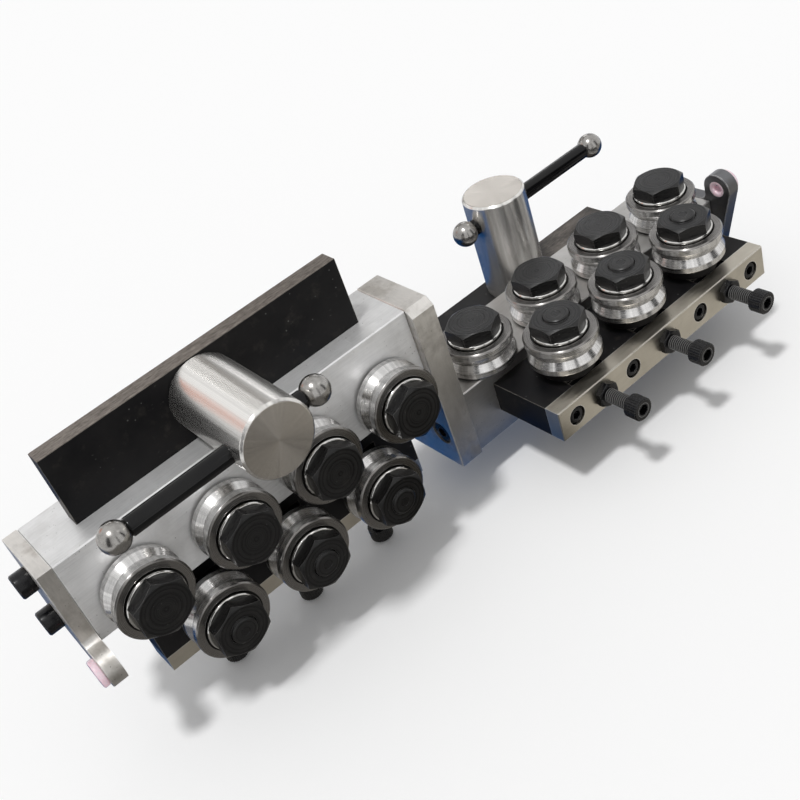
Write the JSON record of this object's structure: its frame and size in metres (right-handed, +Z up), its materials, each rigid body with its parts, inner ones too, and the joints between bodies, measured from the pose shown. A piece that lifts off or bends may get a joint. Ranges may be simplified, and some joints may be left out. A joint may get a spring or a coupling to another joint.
{
  "type": "wire straightener",
  "caption": "Two-plane wire straightener: adjustable grooved rollers run the wire between two rows, first in one plane then the other, each row freed by an eccentric post.",
  "frame": {"origin": "middle of the four tapped mounting holes, on the underside of the second block", "axes": "+X along the wire in its direction of travel, +Z up out of the second block's roller face, +Y from the wire towards the second unit's fixed rollers"},
  "size_m": [0.464, 0.1674, 0.1674],
  "materials": {
    "ground_steel": "ground",
    "black_oxide": "black oxide",
    "black_fasteners": "black oxide",
    "black_gloss": "glossy black",
    "nickel_bar": "satin nickel",
    "post_steel": "turned",
    "roller_steel": "ground, bright edges",
    "polished_core": "polished",
    "chrome_ball": "polished",
    "pink_ceramic": "glazed"
  },
  "bodies": {
    "base": {"first_block": "ground_steel", "second_block": "ground_steel", "joint_plate": "ground_steel", "entry_guide_plate": "ground_steel", "exit_guide_plate": "ground_steel", "wire_eyelets": "pink_ceramic", "fixed_bearing_cores": "polished_core", "fixed_roller_bolts": "black_fasteners", "end_screws": "black_fasteners"},
    "first_frame": {"first_slide_frame": "black_oxide", "first_front_bar": "nickel_bar", "first_bar_fasteners": "black_fasteners"},
    "first_cam": {"first_cam_post": "post_steel"},
    "first_tommy": {"first_tommy_bar": "black_gloss", "first_tommy_balls": "chrome_ball"},
    "first_fixed_ring_1": {"first_fixed_roller_1": "roller_steel"},
    "first_fixed_ring_2": {"first_fixed_roller_2": "roller_steel"},
    "first_fixed_ring_3": {"first_fixed_roller_3": "roller_steel"},
    "first_fixed_ring_4": {"first_fixed_roller_4": "roller_steel"},
    "first_slider_1": {"first_slide_block_1": "black_oxide", "first_roller_nut_1": "black_fasteners", "first_moving_core_1": "polished_core"},
    "first_moving_ring_1": {"first_moving_roller_1": "roller_steel"},
    "first_screw_1": {"first_adjusting_screw_1": "black_fasteners"},
    "first_slider_2": {"first_slide_block_2": "black_oxide", "first_roller_nut_2": "black_fasteners", "first_moving_core_2": "polished_core"},
    "first_moving_ring_2": {"first_moving_roller_2": "roller_steel"},
    "first_screw_2": {"first_adjusting_screw_2": "black_fasteners"},
    "first_slider_3": {"first_slide_block_3": "black_oxide", "first_roller_nut_3": "black_fasteners", "first_moving_core_3": "polished_core"},
    "first_moving_ring_3": {"first_moving_roller_3": "roller_steel"},
    "first_screw_3": {"first_adjusting_screw_3": "black_fasteners"},
    "second_frame": {"second_slide_frame": "black_oxide", "second_front_bar": "nickel_bar", "second_bar_fasteners": "black_fasteners"},
    "second_cam": {"second_cam_post": "post_steel"},
    "second_tommy": {"second_tommy_bar": "black_gloss", "second_tommy_balls": "chrome_ball"},
    "second_fixed_ring_1": {"second_fixed_roller_1": "roller_steel"},
    "second_fixed_ring_2": {"second_fixed_roller_2": "roller_steel"},
    "second_fixed_ring_3": {"second_fixed_roller_3": "roller_steel"},
    "second_fixed_ring_4": {"second_fixed_roller_4": "roller_steel"},
    "second_slider_1": {"second_slide_block_1": "black_oxide", "second_roller_nut_1": "black_fasteners", "second_moving_core_1": "polished_core"},
    "second_moving_ring_1": {"second_moving_roller_1": "roller_steel"},
    "second_screw_1": {"second_adjusting_screw_1": "black_fasteners"},
    "second_slider_2": {"second_slide_block_2": "black_oxide", "second_roller_nut_2": "black_fasteners", "second_moving_core_2": "polished_core"},
    "second_moving_ring_2": {"second_moving_roller_2": "roller_steel"},
    "second_screw_2": {"second_adjusting_screw_2": "black_fasteners"},
    "second_slider_3": {"second_slide_block_3": "black_oxide", "second_roller_nut_3": "black_fasteners", "second_moving_core_3": "polished_core"},
    "second_moving_ring_3": {"second_moving_roller_3": "roller_steel"},
    "second_screw_3": {"second_adjusting_screw_3": "black_fasteners"}
  },
  "joints": [
    {"name": "first_frame_open", "type": "slide", "parent": "base", "child": "first_frame", "axis": [0, 0, -1], "range_m": [0, 0.004]},
    {"name": "first_cam_turn", "type": "hinge", "parent": "first_frame", "child": "first_cam", "pos_m": [-0.2254, -0.0314, 0.1282], "axis": [0, 1, 0], "range_deg": [0, 180]},
    {"name": "first_tommy_slide", "type": "slide", "parent": "first_cam", "child": "first_tommy", "axis": [1, 0, 0], "range_m": [-0.0032, 0.0508]},
    {"name": "first_fixed_spin_1", "type": "hinge", "parent": "base", "child": "first_fixed_ring_1", "pos_m": [-0.2993, -0.0314, 0.07012], "axis": [0, -1, 0], "continuous": true},
    {"name": "first_fixed_spin_2", "type": "hinge", "parent": "base", "child": "first_fixed_ring_2", "pos_m": [-0.2479, -0.0314, 0.07012], "axis": [0, -1, 0], "continuous": true},
    {"name": "first_fixed_spin_3", "type": "hinge", "parent": "base", "child": "first_fixed_ring_3", "pos_m": [-0.1965, -0.0314, 0.07012], "axis": [0, -1, 0], "continuous": true},
    {"name": "first_fixed_spin_4", "type": "hinge", "parent": "base", "child": "first_fixed_ring_4", "pos_m": [-0.1451, -0.0314, 0.07012], "axis": [0, -1, 0], "continuous": true},
    {"name": "first_roller_set_1", "type": "slide", "parent": "first_frame", "child": "first_slider_1", "axis": [0, 0, 1], "range_m": [-0.0025, 0.003]},
    {"name": "first_moving_spin_1", "type": "hinge", "parent": "first_slider_1", "child": "first_moving_ring_1", "pos_m": [-0.2736, -0.0314, 0.02988], "axis": [0, -1, 0], "continuous": true},
    {"name": "first_screw_turn_1", "type": "hinge", "parent": "first_slider_1", "child": "first_screw_1", "pos_m": [-0.2736, -0.0056, 0.01], "axis": [0, 0, 1], "range_deg": [-721, 865]},
    {"name": "first_roller_set_2", "type": "slide", "parent": "first_frame", "child": "first_slider_2", "axis": [0, 0, 1], "range_m": [-0.0025, 0.003]},
    {"name": "first_moving_spin_2", "type": "hinge", "parent": "first_slider_2", "child": "first_moving_ring_2", "pos_m": [-0.2222, -0.0314, 0.02988], "axis": [0, -1, 0], "continuous": true},
    {"name": "first_screw_turn_2", "type": "hinge", "parent": "first_slider_2", "child": "first_screw_2", "pos_m": [-0.2222, -0.0056, 0.01], "axis": [0, 0, 1], "range_deg": [-721, 865]},
    {"name": "first_roller_set_3", "type": "slide", "parent": "first_frame", "child": "first_slider_3", "axis": [0, 0, 1], "range_m": [-0.0025, 0.003]},
    {"name": "first_moving_spin_3", "type": "hinge", "parent": "first_slider_3", "child": "first_moving_ring_3", "pos_m": [-0.1708, -0.0314, 0.02988], "axis": [0, -1, 0], "continuous": true},
    {"name": "first_screw_turn_3", "type": "hinge", "parent": "first_slider_3", "child": "first_screw_3", "pos_m": [-0.1708, -0.0056, 0.01], "axis": [0, 0, 1], "range_deg": [-721, 865]},
    {"name": "second_frame_open", "type": "slide", "parent": "base", "child": "second_frame", "axis": [0, -1, 0], "range_m": [0, 0.004]},
    {"name": "second_cam_turn", "type": "hinge", "parent": "second_frame", "child": "second_cam", "pos_m": [0.0012, 0.0468, 0.05], "axis": [0, 0, 1], "range_deg": [0, 180]},
    {"name": "second_tommy_slide", "type": "slide", "parent": "second_cam", "child": "second_tommy", "axis": [-1, 0, 0], "range_m": [0, 0.054]},
    {"name": "second_fixed_spin_1", "type": "hinge", "parent": "base", "child": "second_fixed_ring_1", "pos_m": [-0.0759, -0.01128, 0.05], "axis": [0, 0, 1], "continuous": true},
    {"name": "second_fixed_spin_2", "type": "hinge", "parent": "base", "child": "second_fixed_ring_2", "pos_m": [-0.0245, -0.01128, 0.05], "axis": [0, 0, 1], "continuous": true},
    {"name": "second_fixed_spin_3", "type": "hinge", "parent": "base", "child": "second_fixed_ring_3", "pos_m": [0.0269, -0.01128, 0.05], "axis": [0, 0, 1], "continuous": true},
    {"name": "second_fixed_spin_4", "type": "hinge", "parent": "base", "child": "second_fixed_ring_4", "pos_m": [0.0783, -0.01128, 0.05], "axis": [0, 0, 1], "continuous": true},
    {"name": "second_roller_set_1", "type": "slide", "parent": "second_frame", "child": "second_slider_1", "axis": [0, 1, 0], "range_m": [-0.0025, 0.003]},
    {"name": "second_moving_spin_1", "type": "hinge", "parent": "second_slider_1", "child": "second_moving_ring_1", "pos_m": [-0.0502, -0.05152, 0.05], "axis": [0, 0, 1], "continuous": true},
    {"name": "second_screw_turn_1", "type": "hinge", "parent": "second_slider_1", "child": "second_screw_1", "pos_m": [-0.0502, -0.0714, 0.0242], "axis": [0, 1, 0], "range_deg": [-721, 865]},
    {"name": "second_roller_set_2", "type": "slide", "parent": "second_frame", "child": "second_slider_2", "axis": [0, 1, 0], "range_m": [-0.0025, 0.003]},
    {"name": "second_moving_spin_2", "type": "hinge", "parent": "second_slider_2", "child": "second_moving_ring_2", "pos_m": [0.0012, -0.05152, 0.05], "axis": [0, 0, 1], "continuous": true},
    {"name": "second_screw_turn_2", "type": "hinge", "parent": "second_slider_2", "child": "second_screw_2", "pos_m": [0.0012, -0.0714, 0.0242], "axis": [0, 1, 0], "range_deg": [-721, 865]},
    {"name": "second_roller_set_3", "type": "slide", "parent": "second_frame", "child": "second_slider_3", "axis": [0, 1, 0], "range_m": [-0.0025, 0.003]},
    {"name": "second_moving_spin_3", "type": "hinge", "parent": "second_slider_3", "child": "second_moving_ring_3", "pos_m": [0.0526, -0.05152, 0.05], "axis": [0, 0, 1], "continuous": true},
    {"name": "second_screw_turn_3", "type": "hinge", "parent": "second_slider_3", "child": "second_screw_3", "pos_m": [0.0526, -0.0714, 0.0242], "axis": [0, 1, 0], "range_deg": [-721, 865]}
  ],
  "couplings": [
    {"joint": "first_cam_turn", "follows": "first_frame_open", "rad_per_m": 785.39},
    {"joint": "first_screw_turn_1", "follows": "first_roller_set_1", "rad_per_m": 5026.5},
    {"joint": "first_screw_turn_2", "follows": "first_roller_set_2", "rad_per_m": 5026.5},
    {"joint": "first_screw_turn_3", "follows": "first_roller_set_3", "rad_per_m": 5026.5},
    {"joint": "second_cam_turn", "follows": "second_frame_open", "rad_per_m": 785.39},
    {"joint": "second_screw_turn_1", "follows": "second_roller_set_1", "rad_per_m": 5026.5},
    {"joint": "second_screw_turn_2", "follows": "second_roller_set_2", "rad_per_m": 5026.5},
    {"joint": "second_screw_turn_3", "follows": "second_roller_set_3", "rad_per_m": 5026.5}
  ]
}
